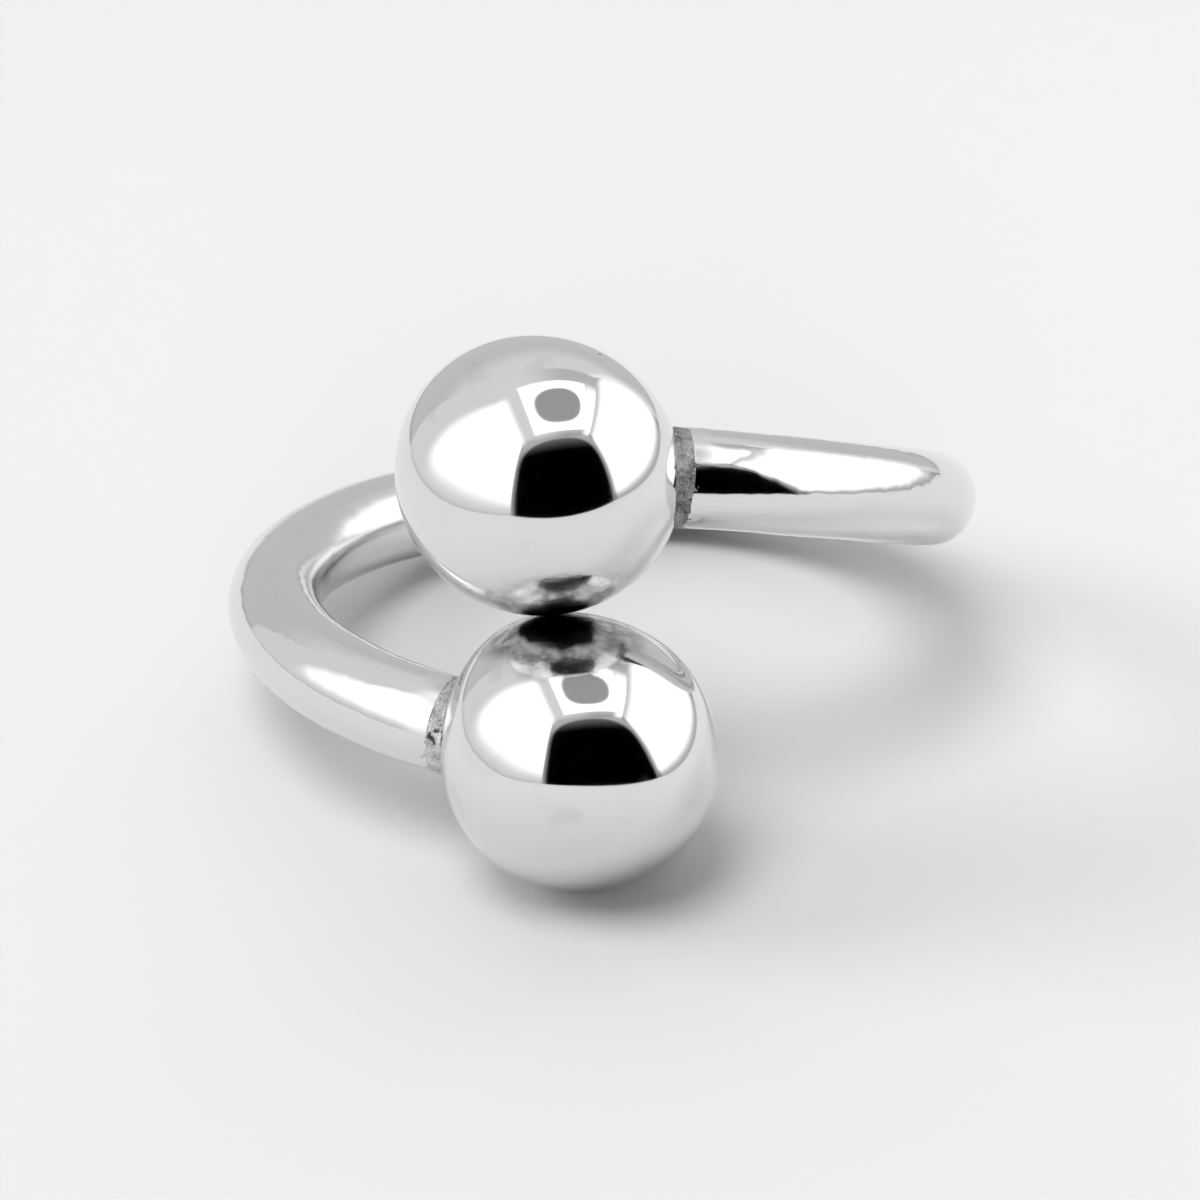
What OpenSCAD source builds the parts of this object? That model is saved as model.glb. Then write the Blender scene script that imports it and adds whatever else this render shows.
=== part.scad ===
// Ring of round wire that wraps once round the finger, with a bead soldered on each end.
// Millimetres. The ring lies as it rests by itself, on its lower bead and the back of the wire.
// Z is up from the surface, and the origin is on it, under the middle of the ring.

/* [Finger hole and wire] */
// Inside diameter of the band
finger_d = 17.35; // [15:0.05:22]
// Diameter of the round wire
wire_d = 3; // [2:0.1:3.6]

/* [Bend] */
// How far round the finger the wire is bent, in degrees
bend_angle = 327.5; // [320:0.5:335]
// Straight length from the end of the bend to the middle of the bead
tail = 4.2; // [3:0.1:5]
// How steeply the wire climbs round the finger, in degrees
climb = 10.6; // [9:0.1:14]
// Climb of the end that goes into the lower bead, in degrees
climb_low = -3; // [-6:0.5:3]
// Climb of the end that goes into the upper bead, in degrees
climb_high = -9; // [-12:0.5:0]
// Length over which each end bends out of the climb
ease = 22; // [16:1:26]

/* [Beads and solder] */
// Diameter of each bead
ball_d = 8.4; // [7.6:0.1:8.4]
// Space between the bead and the square end of the wire, filled with solder
solder_gap = 0.25; // [0.1:0.05:0.4]
// How much thinner the solder is than the wire, all round
solder_step = 0.05; // [0.02:0.01:0.2]

/* [Resting pose] */
// Lean towards the back, which lies on the surface, in degrees
lean_back = 19.49; // [0:0.01:30]
// Lean towards the right, in degrees
lean_right = 7.17; // [-15:0.01:15]
// Turn on the surface, in degrees
turn = -9.91; // [-180:0.01:180]

/* [Quality] */
// Sides of the wire
wire_sides = 32; // [16:4:40]
// Rings of points along the wire
wire_rings = 84; // [60:4:120]

/* [Hidden] */
$fn = 96;

finger_r = finger_d / 2;
wire_r = wire_d / 2;
ball_r = ball_d / 2;
bend_r = finger_r + wire_r;
bend_length = bend_r * bend_angle * PI / 180;
wire_length = bend_length + 2 * tail;

// The wire stops short of each bead's middle by the bead and the solder
cut_back = ball_r + solder_gap;
// A bead's solder starts and ends inside the metal that it joins
solder_bury = 0.4;

// Half of the way between the bends' start and end heights, so that the middle is at height 0
middle_height = (height(0) + height(wire_length)) / 2;

// Height of the wire's middle line, s millimetres along it from the lower bead.
// It climbs evenly, and each end bends out of the climb by a cubic.
function height(s) =
    let (
        to_low = max(ease - s, 0),
        to_high = max(s - (wire_length - ease), 0),
        low_bend = (tan(climb_low) - tan(climb)) * (pow(ease, 3) - pow(to_low, 3)),
        high_bend = (tan(climb_high) - tan(climb)) * pow(to_high, 3)
    )
    tan(climb) * s + (low_bend + high_bend) / (3 * pow(ease, 2));

// The wire's middle line: straight, round the finger, and straight again
function middle(s) =
    let (
        on_bend = min(max(s, tail), wire_length - tail),
        past = s - on_bend,
        angle = (on_bend - tail) / bend_length * bend_angle - bend_angle / 2
    )
    [
        bend_r * sin(angle) + past * cos(angle),
        bend_r * cos(angle) - past * sin(angle),
        height(s) - middle_height
    ];

function unit(v) = v / norm(v);

// The way the wire runs at s, from the lower bead to the upper
function along(s, step = 0.01) = unit(middle(s + step) - middle(s - step));

// One ring of the wire's skin, square to its middle line
function skin(s) =
    let (
        ahead = along(s),
        out = unit(cross([0, 0, 1], ahead)),
        up = cross(ahead, out)
    )
    [
        for (i = [0 : wire_sides - 1])
            let (angle = 360 * i / wire_sides)
            middle(s) + wire_r * (out * cos(angle) + up * sin(angle))
    ];

band_points = [
    for (i = [0 : wire_rings - 1])
        each skin(cut_back + (wire_length - 2 * cut_back) * i / (wire_rings - 1))
];

band_faces = [
    [for (j = [0 : wire_sides - 1]) j],
    for (i = [0 : wire_rings - 2], j = [0 : wire_sides - 1])
        let (a = i * wire_sides + j, b = i * wire_sides + (j + 1) % wire_sides)
        each [[a, a + wire_sides, b], [b, a + wire_sides, b + wire_sides]],
    [for (j = [wire_sides - 1 : -1 : 0]) (wire_rings - 1) * wire_sides + j]
];

// The same turns as rotate(), for working out where the leaning ring touches the surface
function about_x(a) = [[1, 0, 0], [0, cos(a), -sin(a)], [0, sin(a), cos(a)]];
function about_y(a) = [[cos(a), 0, sin(a)], [0, 1, 0], [-sin(a), 0, cos(a)]];
function about_z(a) = [[cos(a), -sin(a), 0], [sin(a), cos(a), 0], [0, 0, 1]];
leaning = about_z(turn) * about_y(lean_right) * about_x(-lean_back);

ball_middles = [middle(0), middle(wire_length)];
leaning_points = [for (p = band_points) leaning * p];
leaning_balls = [for (p = ball_middles) leaning * p];

// Lowest and highest reach of the leaning ring along X, Y or Z
function lowest(axis) =
    min(concat([for (p = leaning_points) p[axis]], [for (p = leaning_balls) p[axis] - ball_r]));
function highest(axis) =
    max(concat([for (p = leaning_points) p[axis]], [for (p = leaning_balls) p[axis] + ball_r]));
foot = [(lowest(0) + highest(0)) / 2, (lowest(1) + highest(1)) / 2, lowest(2)];

// Stands a cylinder or other shape at a point, with its Z along a direction
module point_along(place, direction) {
    level = norm([direction[0], direction[1]]);
    translate(place)
        rotate([0, atan2(level, direction[2]), atan2(direction[1], direction[0])])
            children();
}

module at_rest() {
    translate(-foot)
        rotate([-lean_back, lean_right, turn])
            children();
}

module band() {
    polyhedron(points = band_points, faces = band_faces, convexity = 6);
}

module ball(s) {
    translate(middle(s))
        sphere(d = ball_d);
}

// s is the bead's middle, and inward the way from there into the wire: 1 or -1
module solder_seam(s, inward) {
    buried_r = sqrt(pow(ball_r, 2) - pow(wire_r, 2)) - solder_bury;
    cut = s + inward * cut_back;
    point_along(middle(cut), -inward * along(cut))
        translate([0, 0, -solder_bury])
            cylinder(r = wire_r - solder_step, h = cut_back - buried_r + solder_bury);
}

module ring() {
    color("silver")
        at_rest()
            union() {
                band();
                ball(0);
                ball(wire_length);
                solder_seam(0, 1);
                solder_seam(wire_length, -1);
            }
}

ring();
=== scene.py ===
"""Double ball ring: round silver wire bent once round the finger, with a bead soldered on each end.

Metres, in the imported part's own frame. The ring lies as it rests by itself, and +Y is away from the camera.
"""
from math import cos, hypot, pi, radians, sin, sqrt, tan

import bmesh
import bpy
from mathutils import Matrix, Vector


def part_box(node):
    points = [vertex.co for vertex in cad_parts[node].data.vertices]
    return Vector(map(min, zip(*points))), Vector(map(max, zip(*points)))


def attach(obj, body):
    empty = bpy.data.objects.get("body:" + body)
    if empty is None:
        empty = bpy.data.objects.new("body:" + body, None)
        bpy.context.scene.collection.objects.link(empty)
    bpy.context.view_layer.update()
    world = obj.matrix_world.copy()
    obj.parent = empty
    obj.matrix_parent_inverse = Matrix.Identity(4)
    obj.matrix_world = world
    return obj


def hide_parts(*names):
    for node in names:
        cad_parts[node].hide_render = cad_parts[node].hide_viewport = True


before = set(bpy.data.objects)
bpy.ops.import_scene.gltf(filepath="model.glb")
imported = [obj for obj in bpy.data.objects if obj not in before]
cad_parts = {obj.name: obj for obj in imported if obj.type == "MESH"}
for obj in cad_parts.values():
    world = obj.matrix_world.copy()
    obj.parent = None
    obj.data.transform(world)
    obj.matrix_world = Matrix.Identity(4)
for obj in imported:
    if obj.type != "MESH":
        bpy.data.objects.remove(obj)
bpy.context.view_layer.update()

# Band
# One length of round sterling wire, cut square, bent round a mandrel and polished.
# It climbs as it goes round, so that its ends pass one above the other at the front.
MM = 0.001
TINY = 0.01 * MM
FINGER_R = 17.35 * MM / 2
WIRE_R = 3.0 * MM / 2
BEND_R = FINGER_R + WIRE_R
BEND_ANGLE = radians(327.5)
TAIL = 4.2 * MM
WIRE_LENGTH = BEND_R * BEND_ANGLE + 2 * TAIL
CLIMB = tan(radians(10.6))
CLIMB_LOW = tan(radians(-3))
CLIMB_HIGH = tan(radians(-9))
EASE = 22 * MM
BEAD_R = 8.4 * MM / 2
SOLDER_GAP = 0.12 * MM
CUT_BACK = BEAD_R + SOLDER_GAP

# As it lies, the ring is turned a little clockwise, with its right side down and its front up
CLOCKWISE = radians(9.91)
RIGHT_DOWN = radians(7.17)
FRONT_UP = radians(19.49)


def height(s):
    """Height of the wire's middle line, s metres along it from the lower bead."""
    to_low = max(EASE - s, 0)
    to_high = max(s - (WIRE_LENGTH - EASE), 0)
    low_bend = (CLIMB_LOW - CLIMB) * (EASE**3 - to_low**3)
    high_bend = (CLIMB_HIGH - CLIMB) * to_high**3
    return CLIMB * s + (low_bend + high_bend) / (3 * EASE**2)


def middle(s):
    """The wire's middle line in the ring's own frame: straight, round the finger, straight again."""
    on_bend = min(max(s, TAIL), WIRE_LENGTH - TAIL)
    past = s - on_bend
    angle = (on_bend - TAIL) / BEND_R - BEND_ANGLE / 2
    x = BEND_R * sin(angle) + past * cos(angle)
    y = BEND_R * cos(angle) - past * sin(angle)
    return Vector((x, y, height(s) - (height(0) + height(WIRE_LENGTH)) / 2))


def along(s):
    """The wire's direction at s."""
    return (middle(s + TINY) - middle(s - TINY)).normalized()


def resting_place():
    """Leans the ring as it rests and brings its lowest corner to that of the CAD ring's box."""
    lean = Matrix.Rotation(RIGHT_DOWN, 4, "Y") @ Matrix.Rotation(-FRONT_UP, 4, "X")
    leaning = Matrix.Rotation(-CLOCKWISE, 4, "Z") @ lean
    stretches = 600
    corner = []
    for axis in range(3):
        reach = [(leaning @ middle(s))[axis] - BEAD_R for s in (0, WIRE_LENGTH)]
        for s in (WIRE_LENGTH * i / stretches for i in range(stretches + 1)):
            slope = (leaning.to_3x3() @ along(s))[axis]
            reach.append((leaning @ middle(s))[axis] - WIRE_R * sqrt(1 - slope**2))
        corner.append(min(reach))
    return Matrix.Translation(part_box("ring")[0] - Vector(corner)) @ leaning


AT_REST = resting_place()


def new_piece(name, add, **sizes):
    """Adds a primitive with nothing else selected, with its place kept in its mesh."""
    bpy.ops.object.select_all(action="DESELECT")
    add(**sizes)
    piece = bpy.context.object
    piece.name = piece.data.name = name
    bpy.ops.object.transform_apply(location=True, rotation=True, scale=True)
    return piece


def pick_edges(piece, chosen):
    """Selects, in edit mode, only the edges that chosen() says yes to."""
    bpy.ops.mesh.select_mode(type="EDGE")
    bpy.ops.mesh.select_all(action="DESELECT")
    mesh = bmesh.from_edit_mesh(piece.data)
    for edge in mesh.edges:
        edge.select = chosen(*(v.co for v in edge.verts))
    mesh.select_flush_mode()
    bmesh.update_edit_mesh(piece.data)


def apply(piece, kind, **settings):
    """Adds a modifier and applies it."""
    modifier = piece.modifiers.new(kind.title(), kind)
    for name, value in settings.items():
        setattr(modifier, name, value)
    bpy.context.view_layer.objects.active = piece
    bpy.ops.object.modifier_apply(modifier=modifier.name)


def clouds(name, size, depth=1):
    """Smooth lumps of about the given size, for a Displace modifier."""
    texture = bpy.data.textures.new(name, "CLOUDS")
    texture.noise_scale = size
    texture.noise_depth = depth
    texture.noise_basis = "ORIGINAL_PERLIN"
    return texture


LINE_POINTS = 900
line = [middle(WIRE_LENGTH * i / (LINE_POINTS - 1)) for i in range(LINE_POINTS)]
bend = bpy.data.curves.new("bend", "CURVE")
bend.dimensions = "3D"
bend.twist_mode = "Z_UP"
spline = bend.splines.new("POLY")
spline.points.add(LINE_POINTS - 1)
for point, place in zip(spline.points, line):
    point.co = (*place, 1)
mandrel = bpy.data.objects.new("mandrel", bend)
bpy.context.collection.objects.link(mandrel)

# The climb makes the bent wire a little longer than its plan, so it is measured along the curve
CURVE_LENGTH = sum((b - a).length for a, b in zip(line, line[1:]))
LOW_END = CUT_BACK * sqrt(1 + CLIMB_LOW**2)
HIGH_END = CURVE_LENGTH - CUT_BACK * sqrt(1 + CLIMB_HIGH**2)
band = new_piece(
    "band",
    bpy.ops.mesh.primitive_cylinder_add,
    vertices=72,
    radius=WIRE_R,
    depth=HIGH_END - LOW_END,
    location=((LOW_END + HIGH_END) / 2, 0, 0),
    rotation=(0, pi / 2, 0),
)
bpy.ops.object.mode_set(mode="EDIT")
pick_edges(band, lambda a, b: abs(a.x - b.x) > (HIGH_END - LOW_END) / 2)
bpy.ops.mesh.subdivide(number_cuts=260)
pick_edges(band, lambda a, b: max(a.x, b.x) < LOW_END + TINY or min(a.x, b.x) > HIGH_END - TINY)
bpy.ops.mesh.bevel(offset=0.05 * MM, segments=3, affect="EDGES")
bpy.ops.object.mode_set(mode="OBJECT")
apply(band, "DISPLACE", texture=clouds("hand_bent", 2.6 * MM), strength=0.09 * MM, mid_level=0.5)
apply(band, "CURVE", object=mandrel, deform_axis="POS_X")
bpy.data.objects.remove(mandrel)


def settle(piece, angle=radians(35)):
    """Lays a finished piece where the ring rests, shades it smooth and hands it to the frame."""
    piece.data.transform(AT_REST)
    bpy.ops.object.select_all(action="DESELECT")
    piece.select_set(True)
    bpy.context.view_layer.objects.active = piece
    bpy.ops.object.shade_smooth_by_angle(angle=angle)
    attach(piece, "root")
    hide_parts("ring")


settle(band)


class Value:
    """What a node gives. Its operators add Math nodes."""

    def __init__(self, surface, socket):
        self.surface = surface
        self.socket = socket

    def math(self, operation, *others):
        return self.surface.node("Math", {"operation": operation}, self, *others)

    def __add__(self, other):
        return self.math("ADD", other)

    def __sub__(self, other):
        return self.math("SUBTRACT", other)

    def __mul__(self, other):
        return self.math("MULTIPLY", other)

    def __rsub__(self, other):
        return self.surface.node("Math", {"operation": "SUBTRACT"}, other, self)

    __radd__ = __add__
    __rmul__ = __mul__

    def step(self, start, end, low=0.0, high=1.0):
        """Goes softly from low at start to high at end."""
        softly = {"interpolation_type": "SMOOTHSTEP"}
        return self.surface.node("MapRange", softly, self, start, end, low, high)


class Surface:
    """A material, its Principled shader and one way to add any other node."""

    def __init__(self, name, **constants):
        self.material = bpy.data.materials.new(name)
        self.material.use_nodes = True
        self.tree = self.material.node_tree
        self.shader = self.tree.nodes["Principled BSDF"]
        self.set(**constants)
        self.place = self.node("TexCoord", {}, output="Object")

    def node(self, kind, settings, *inputs, output=0, **named):
        node = self.tree.nodes.new("ShaderNode" + kind)
        for name, value in settings.items():
            setattr(node, name, value)
        for key, value in [*enumerate(inputs), *named.items()]:
            self.feed(node.inputs[key], value)
        return Value(self, node.outputs[output])

    def feed(self, socket, value):
        if isinstance(value, Value):
            self.tree.links.new(value.socket, socket)
        else:
            socket.default_value = value

    def set(self, **inputs):
        """Sets the shader's inputs, such as Base_Color."""
        for name, value in inputs.items():
            self.feed(self.shader.inputs[name.replace("_", " ")], value)

    def noise(self, size, detail=2.0):
        return self.node("TexNoise", {}, Vector=self.place, Scale=1 / size, Detail=detail)

    def distance_from(self, point):
        return self.node("VectorMath", {"operation": "DISTANCE"}, self.place, point, output="Value")

    def mix(self, share, a, b):
        """Goes from colour a to b with share."""
        mixed = self.node("Mix", {"data_type": "RGBA"}, share, output=2)
        for socket, value in zip(mixed.socket.node.inputs[6:8], (a, b)):
            self.feed(socket, value)
        return mixed

    def relief(self, height):
        """A normal for the given height in metres."""
        return self.node("Bump", {}, Strength=1.0, Distance=1.0, Height=height)

    def put_on(self, piece, slot):
        piece.data.materials.clear()
        piece.data.materials.append(self.material)


def grey(level):
    """A colour with no hue, from 0 for black to 1 for white."""
    return (level, level, level, 1)


SILVER = grey(0.78)
DULL_SILVER = grey(0.42)
LOWER_BEAD_AT = AT_REST @ middle(0)
UPPER_BEAD_AT = AT_REST @ middle(WIRE_LENGTH)
WIRE_END_AWAY = hypot(CUT_BACK, WIRE_R)
SATIN_AT = AT_REST @ middle(WIRE_LENGTH * 0.4)

# Fine round the wire and long along it
DRAW_LINES = (90.0, 5.0, 0.0)


def polished_wire(name):
    """Polish with fine draw lines, satin at the left and back, brushed over the joints and matte at them."""
    silver = Surface(name, Metallic=1.0)
    up = silver.node("SeparateXYZ", {}, silver.place, output=2)
    from_lower = silver.distance_from(LOWER_BEAD_AT)
    from_upper = silver.distance_from(UPPER_BEAD_AT)
    brushed = sum(
        from_bead.step(WIRE_END_AWAY + 0.4 * MM, WIRE_END_AWAY + 1.1 * MM, 1.0, 0.0)
        * (up - bead.z).step(0.2 * MM, 0.6 * MM)
        for from_bead, bead in ((from_lower, LOWER_BEAD_AT), (from_upper, UPPER_BEAD_AT))
    )
    ragged = from_lower.math("MINIMUM", from_upper) - 0.8 * MM * silver.noise(0.6 * MM) + 0.43 * MM
    matte = ragged.step(WIRE_END_AWAY, WIRE_END_AWAY + 0.08 * MM, 1.0, 0.0)
    grain = silver.noise(0.05 * MM, 4.0)
    waves = silver.noise(1.8 * MM)
    satin = silver.distance_from(SATIN_AT).step(7 * MM, 14 * MM, 1.0, 0.0)
    on_skin = silver.node("VectorMath", {"operation": "MULTIPLY"}, silver.node("UVMap", {}), DRAW_LINES)
    drawn = silver.node("TexNoise", {}, Vector=on_skin, Scale=1.0, Detail=4.0)
    silver.set(
        Base_Color=silver.mix(matte, silver.mix(drawn * 0.12, SILVER, DULL_SILVER), DULL_SILVER),
        Roughness=0.05 + 0.05 * drawn + 0.14 * satin + 0.25 * brushed + matte * (0.25 + 0.3 * grain),
        Normal=silver.relief(waves * 0.045 * MM + satin * drawn * 0.0012 * MM + matte * grain * 0.02 * MM),
    )
    return silver


polished_wire("wire_silver").put_on(band, "silver")

# Beads
# Two solid balls, cast and filed round by hand, so each is a little flat or full in places.
# The lower one carries the ring on the surface, and the upper one stands just clear of it.


def new_bead(name, s, way, pulls):
    """A bead at s on the wire, with its pole towards the wire.

    way is 1 at the wire's low end and -1 at its high end, here and for the solder.
    Each pull is (direction as the ring rests, millimetres outwards, width in millimetres).
    """
    bead = new_piece(
        name,
        bpy.ops.mesh.primitive_uv_sphere_add,
        segments=144,
        ring_count=96,
        radius=BEAD_R,
        location=middle(s),
        rotation=(along(s) * way).to_track_quat("Z", "Y").to_euler(),
    )
    to_ring = AT_REST.to_3x3().inverted()
    for direction, amount, width in pulls:
        toward = (to_ring @ Vector(direction)).normalized()
        top = middle(s) + BEAD_R * toward
        bpy.ops.object.mode_set(mode="EDIT")
        bpy.ops.mesh.select_mode(type="VERT")
        bpy.ops.mesh.select_all(action="DESELECT")
        mesh = bmesh.from_edit_mesh(bead.data)
        min(mesh.verts, key=lambda v: (v.co - top).length).select = True
        mesh.select_flush_mode()
        bmesh.update_edit_mesh(bead.data)
        bpy.ops.transform.translate(
            value=toward * amount * MM,
            use_proportional_edit=True,
            proportional_edit_falloff="SMOOTH",
            proportional_size=width * MM,
        )
        bpy.ops.object.mode_set(mode="OBJECT")
    settle(bead)
    return bead


bead_lower = new_bead(
    "ball_lower",
    0,
    1,
    [
        ((-0.46, 0.32, 0.83), 0.24, 4.0),
        ((-0.53, -0.41, 0.74), 0.10, 4.0),
        ((0.37, 0.31, 0.87), -0.05, 4.0),
        ((0.78, -0.63, 0.01), 0.11, 4.0),
        ((0.02, -0.92, -0.39), -0.31, 4.0),
        ((-0.17, -0.86, -0.49), -0.09, 5.0),
        ((-0.84, -0.51, -0.20), -0.06, 4.0),
    ],
)
bead_upper = new_bead(
    "ball_upper",
    WIRE_LENGTH,
    -1,
    [
        ((0.55, -0.77, 0.33), 0.20, 6.5),
        ((0.47, 0.69, 0.55), -0.24, 4.0),
        ((0.43, -0.10, 0.90), 0.13, 4.0),
        ((-0.42, -0.59, -0.69), -0.09, 6.5),
        ((-0.78, 0.48, 0.40), 0.11, 5.0),
        ((0.93, -0.06, -0.37), 0.06, 4.0),
    ],
)

# Painted shade: dark grey for the shade round the crevice between the beads, also used for faint smudges, and
# black for the shade in the crevice and in the pit
SHADE_AND_SMUDGE_GREY = grey(0.22)
PAINTED_SHADE_BLACK = grey(0.012)
BETWEEN_BEADS = (UPPER_BEAD_AT - LOWER_BEAD_AT).normalized()
CREVICE_AT = LOWER_BEAD_AT + BEAD_R * (BETWEEN_BEADS + Vector((0.01, -0.16, -0.02)))
PIT_AT = bead_upper.closest_point_on_mesh(UPPER_BEAD_AT + BEAD_R * Vector((0.449, 0.04, 0.885)))[1]


def polished_bead(name, black_shade_r, dull_and_shade_r, dullness, crevice_shade):
    """Mirror polish with faint smudges and a pit; dull, with painted shade, in the crevice between the beads.

    The painted black shade and the dull zone of painted dark grey shade round it reach about as far as the
    two given radii from CREVICE_AT.
    """
    silver = Surface(name, Metallic=1.0)
    blotches = silver.noise(0.8 * MM, 4.0)
    mottled = silver.noise(0.4 * MM, 5.0).step(0.35, 0.65)
    from_crevice = silver.distance_from(CREVICE_AT) + 1.8 * MM * (blotches - 0.5)
    # Painted shade, black close to the crevice between the beads and mottled dark grey in the dull zone
    # further out
    crevice_black_shade = from_crevice.step(black_shade_r, black_shade_r + 0.3 * MM, 1.0, 0.0)
    dull_and_shaded = from_crevice.step(dull_and_shade_r, dull_and_shade_r + 0.9 * MM, 1.0, 0.0)
    smudge = silver.noise(1.3 * MM, 4.0).step(0.58, 0.74)
    # A pit: a small dent, painted black as its shade
    pitted = silver.distance_from(PIT_AT).step(0.04 * MM, 0.09 * MM, 1.0, 0.0)
    waves = silver.noise(1.9 * MM, 1.0)
    # Dark grey: painted shade round the crevice, and faint smudges
    shaded_and_smudged = silver.mix(dull_and_shaded * crevice_shade * (0.4 + 0.6 * mottled) + smudge * 0.12, SILVER, SHADE_AND_SMUDGE_GREY)
    silver.set(
        Base_Color=silver.mix(crevice_black_shade + pitted, shaded_and_smudged, PAINTED_SHADE_BLACK),
        Roughness=0.04 + 0.03 * blotches + 0.05 * smudge + dullness * dull_and_shaded,
        Normal=silver.relief(waves * 0.006 * MM + dull_and_shaded * mottled * 0.005 * MM - pitted * 0.03 * MM),
    )
    return silver


# The crevice shade is painted on both beads, darker grey on the lower one and reaching further on the upper
# one
lower_silver = polished_bead("lower_bead_silver", 0.95 * MM, 2.0 * MM, dullness=0.12, crevice_shade=0.85)
lower_silver.put_on(bead_lower, "silver")
upper_silver = polished_bead("upper_bead_silver", 1.4 * MM, 3.1 * MM, dullness=0.14, crevice_shade=0.3)
upper_silver.put_on(bead_upper, "silver")

# Solder
# Silver solder run into the gap between each bead and the square end of the wire.
# The polishing wheel doesn't reach it, so it is left grey, grainy and pitted.


def new_solder(name, s, way):
    """A collar that starts inside the wire and ends inside the bead, a little thicker towards the bead."""
    length = 1.0 * MM
    bury = 0.2 * MM
    seam = new_piece(
        name,
        bpy.ops.mesh.primitive_cone_add,
        vertices=240,
        radius1=WIRE_R - 0.02 * MM,
        radius2=WIRE_R + 0.01 * MM,
        depth=length,
        end_fill_type="TRIFAN",
    )
    bpy.ops.object.mode_set(mode="EDIT")
    pick_edges(seam, lambda a, b: abs(a.z - b.z) > length / 2)
    bpy.ops.mesh.subdivide(number_cuts=40)
    bpy.ops.object.mode_set(mode="OBJECT")
    apply(seam, "DISPLACE", texture=clouds(name + "_lumps", 0.35 * MM), strength=0.06 * MM, mid_level=0.5)
    apply(seam, "DISPLACE", texture=clouds(name + "_grain", 0.09 * MM, 2), strength=0.05 * MM, mid_level=0.5)
    to_bead = along(s + way * CUT_BACK) * -way
    foot = middle(s + way * CUT_BACK) - to_bead * bury
    seam.data.transform(
        Matrix.Translation(foot + to_bead * length / 2) @ to_bead.to_track_quat("Z", "Y").to_matrix().to_4x4()
    )
    settle(seam, angle=radians(180))
    return seam


solder_lower = new_solder("solder_lower", 0, 1)
solder_upper = new_solder("solder_upper", WIRE_LENGTH, -1)


def rough_solder(name, dark, light):
    """Grey, grainy solder between two shades, with a few pits painted near black as their shade."""
    solder = Surface(name, Metallic=1.0)
    grain = solder.noise(0.05 * MM, 4.0)
    patches = solder.noise(0.4 * MM, 3.0)
    pits = solder.noise(0.3 * MM, 4.0).step(0.62, 0.72)
    shade = grain.step(0.3, 0.7) * 0.5 + patches.step(0.3, 0.7) * 0.5
    solder.set(
        # Pits are painted near black as their shade
        Base_Color=solder.mix(pits, solder.mix(shade, grey(dark), grey(light)), grey(0.06)),
        Roughness=0.32 + 0.3 * grain,
        Normal=solder.relief(grain * 0.03 * MM - pits * 0.03 * MM),
    )
    return solder


rough_solder("light_solder", dark=0.25, light=0.85).put_on(solder_lower, "solder")
rough_solder("dark_solder", dark=0.08, light=0.55).put_on(solder_upper, "solder")

# Studio
# A small white photo box round the ring: bright side walls, a square lamp in the roof and a dark, open front.
# Its cards show only as reflections in the metal. The floor is lit by an even sky and four soft lamps.
ROOM_HEIGHT = 165 * MM
FRONT_LEFT = Vector((-56, -118, 0)) * MM
FRONT_RIGHT = Vector((119, -82, 0)) * MM
BACK_LEFT = Vector((-97, 68, 0)) * MM
BACK_RIGHT = Vector((108, 107, 0)) * MM


def card(name, center, across, up, shine):
    """A glowing card. Its glow is shine(x, y), with x and y from -1 to 1 across it and up it.

    The camera sees it only in the metal, and none of its glow reaches the floor.
    """
    bpy.ops.mesh.primitive_plane_add(size=2)
    plane = bpy.context.object
    plane.name = name
    faces = across.cross(up).normalized()
    plane.matrix_world = Matrix.Translation(center) @ Matrix((across, up, faces)).transposed().to_4x4()
    glow = Surface(name + "_glow")
    x = glow.node("SeparateXYZ", {}, glow.place, output=0)
    y = glow.node("SeparateXYZ", {}, glow.place, output=1)
    by_way_of_floor = glow.node("LightPath", {}, output="Diffuse Depth").math("MINIMUM", 1.0)
    emission = glow.node("Emission", {}, Strength=shine(x, y) * (1 - by_way_of_floor))
    glow.feed(glow.tree.nodes["Material Output"].inputs["Surface"], emission)
    plane.data.materials.append(glow.material)
    plane.visible_camera = False
    plane.visible_diffuse = False
    plane.visible_shadow = False


def wall(name, start, end, shine):
    """A card that stands on the floor from one corner of the box to another."""
    up = Vector((0, 0, ROOM_HEIGHT / 2))
    card(name, (start + end) / 2 + up, (end - start) / 2, up, shine)


def out_from_middle(x, y, corner):
    """0 in a card's middle and 1 at its edge. The larger corner is, the squarer are the corners."""
    wide = x.math("ABSOLUTE").math("POWER", corner)
    high = y.math("ABSOLUTE").math("POWER", corner)
    return (wide + high).math("POWER", 1 / corner)


def open_front(x, y):
    """Dark, a little lighter towards the top, with a soft grey edge at the top and the sides."""
    edge = out_from_middle(x, y.math("MAXIMUM", 0), 2.7).step(0.87, 1.0)
    return 0.4 * edge + 0.15 * y.step(0.4, 1.0)


def left_side(x, y):
    """A lamp outside lights the front two thirds of the white cloth, down to just above the floor."""
    lit = 0.79 + 0.95 * x.step(-0.5, -0.2) * y.step(-0.95, -0.55)
    return lit * y.step(-1.0, -0.93, 0.8, 1.0)


def right_side(x, y):
    """As the left side, but lit almost to the back, and dimmer at the top and at both ends."""
    lit = 0.65 + 1.05 * y.step(-0.95, -0.75) * y.step(0.55, 1.0, 1.0, 0.0)
    ends = x.step(0.7, 1.0, 1.0, 0.65) * x.step(-1.0, -0.88, 0.3, 1.0)
    return lit * ends * y.step(-1.0, -0.88, 0.75, 1.0)


def back(x, y):
    """Pale grey, lighter above and next to the right side."""
    lit = 0.62 + 0.17 * y.step(-0.4, 0.3) + 0.3 * x.step(-1.0, -0.7, 1.0, 0.0)
    return lit * y.step(-1.0, -0.9, 0.75, 1.0)


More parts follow.
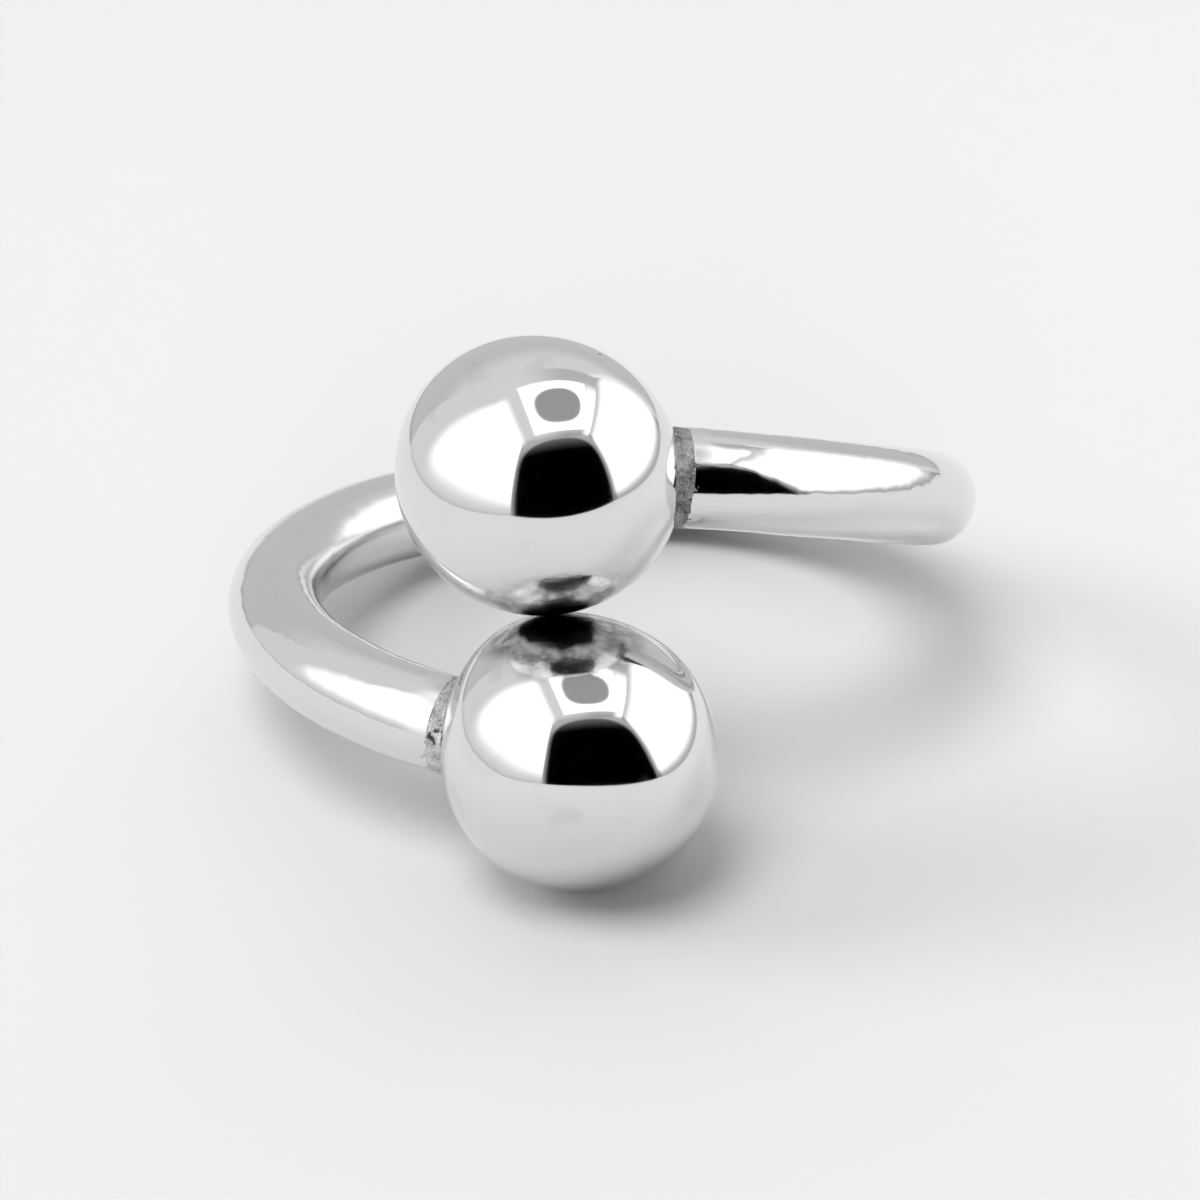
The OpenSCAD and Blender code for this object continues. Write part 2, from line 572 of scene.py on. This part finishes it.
def top(x, y):
    """Pale grey, darker at the right and the front, with the glow of the sides along both edges."""
    left = x.step(-0.86, -0.65, 1.0, 0.0) * y.step(0.15, 0.42, 1.0, 0.0)
    right = x.step(0.52, 0.72) * y.step(0.2, 0.6, 1.0, 0.0)
    return (0.56 + 0.24 * x.step(-0.4, 0.3, 1.0, 0.0) + left + right) * y.step(-1.0, -0.7, 0.4, 1.0)


def lamp_face(x, y):
    """Bright, with nearly square corners and a slightly dimmer rim."""
    return out_from_middle(x, y, 7.0).step(0.95, 1.0, 1.8, 1.4)


def lamp_hole(x, y):
    """Dim, with round corners, and as bright as the lamp at its edge."""
    return out_from_middle(x, y, 2.4).step(0.86, 1.0, 0.38, 1.8)


wall("front", FRONT_LEFT, FRONT_RIGHT, open_front)
wall("left_wall", BACK_LEFT, FRONT_LEFT, left_side)
wall("right_wall", FRONT_RIGHT, BACK_RIGHT, right_side)
wall("back_wall", BACK_RIGHT, BACK_LEFT, back)

# The roof reaches a little past the walls
ROOF_SHARE = 1 / 3.5
roof_at = (FRONT_LEFT + FRONT_RIGHT + BACK_LEFT + BACK_RIGHT) / 4 + Vector((0, 0, ROOM_HEIGHT))
roof_x = (FRONT_RIGHT - FRONT_LEFT + BACK_RIGHT - BACK_LEFT) * ROOF_SHARE
roof_y = (BACK_RIGHT + BACK_LEFT - FRONT_LEFT - FRONT_RIGHT) * ROOF_SHARE
card("roof", roof_at, roof_x, roof_y, top)

LAMP_AT = Vector((28, -18, 164)) * MM
LAMP_TURN = radians(11)
LAMP_HALF = 63 * MM
HOLE_HALF_WIDTH = 49 * MM
HOLE_HALF_DEPTH = 44 * MM
lamp_x = Vector((cos(LAMP_TURN), sin(LAMP_TURN), 0))
lamp_y = Vector((-sin(LAMP_TURN), cos(LAMP_TURN), 0))
just_below = LAMP_AT - Vector((0, 0, MM))
card("lamp", LAMP_AT, lamp_x * LAMP_HALF, lamp_y * LAMP_HALF, lamp_face)
card("lamp_hole", just_below, lamp_x * HOLE_HALF_WIDTH, lamp_y * HOLE_HALF_DEPTH, lamp_hole)

bpy.ops.mesh.primitive_plane_add(size=4)
floor = bpy.context.object
floor.name = "floor"
paper = Surface("pale_paper", Base_Color=grey(0.5), Roughness=0.9)
floor.data.materials.append(paper.material)

world = bpy.data.worlds.new("sky")
bpy.context.scene.world = world
world.use_nodes = True
sky = world.node_tree.nodes["Background"]
sky.inputs["Color"].default_value = grey(1.0)
sky.inputs["Strength"].default_value = 0.4


def soft_lamp(name, azimuth, elevation, spread, strength):
    """A distant lamp that the metal doesn't mirror, with its angles in degrees.

    Azimuth 0 is on the camera's side and 90 on the right.
    """
    sun = bpy.data.lights.new(name, "SUN")
    sun.angle = radians(spread)
    sun.energy = strength
    light = bpy.data.objects.new(name, sun)
    around = radians(azimuth)
    up = radians(elevation)
    toward = Vector((sin(around) * cos(up), -cos(around) * cos(up), sin(up)))
    light.rotation_euler = toward.to_track_quat("Z", "Y").to_euler()
    light.visible_glossy = False
    bpy.context.collection.objects.link(light)


soft_lamp("key", azimuth=322, elevation=70, spread=32, strength=2.2)
soft_lamp("left_fill", azimuth=260, elevation=30, spread=30, strength=1.7)
soft_lamp("back_fill", azimuth=180, elevation=30, spread=90, strength=1.6)
soft_lamp("front_fill", azimuth=0, elevation=20, spread=30, strength=1.1)

# Camera
# It looks in through the open front of the box, down on the ring at 30 degrees.
# A long lens about 130 mm away keeps the perspective slight.
CAMERA_AT = Vector((-0.107, -115.638, 71.231)) * MM
CAMERA_DOWN = radians(30.14)
CAMERA_ROLL = radians(-2.19)
lens = bpy.data.cameras.new("camera")
lens.sensor_width = 36.0
lens.lens = 126.0
lens.clip_start = 5 * MM
camera = bpy.data.objects.new("camera", lens)
camera.matrix_world = (
    Matrix.Translation(CAMERA_AT)
    @ Matrix.Rotation(pi / 2 - CAMERA_DOWN, 4, "X")
    @ Matrix.Rotation(CAMERA_ROLL, 4, "Z")
)
bpy.context.collection.objects.link(camera)
bpy.context.scene.camera = camera
bpy.context.scene.view_settings.view_transform = "Standard"
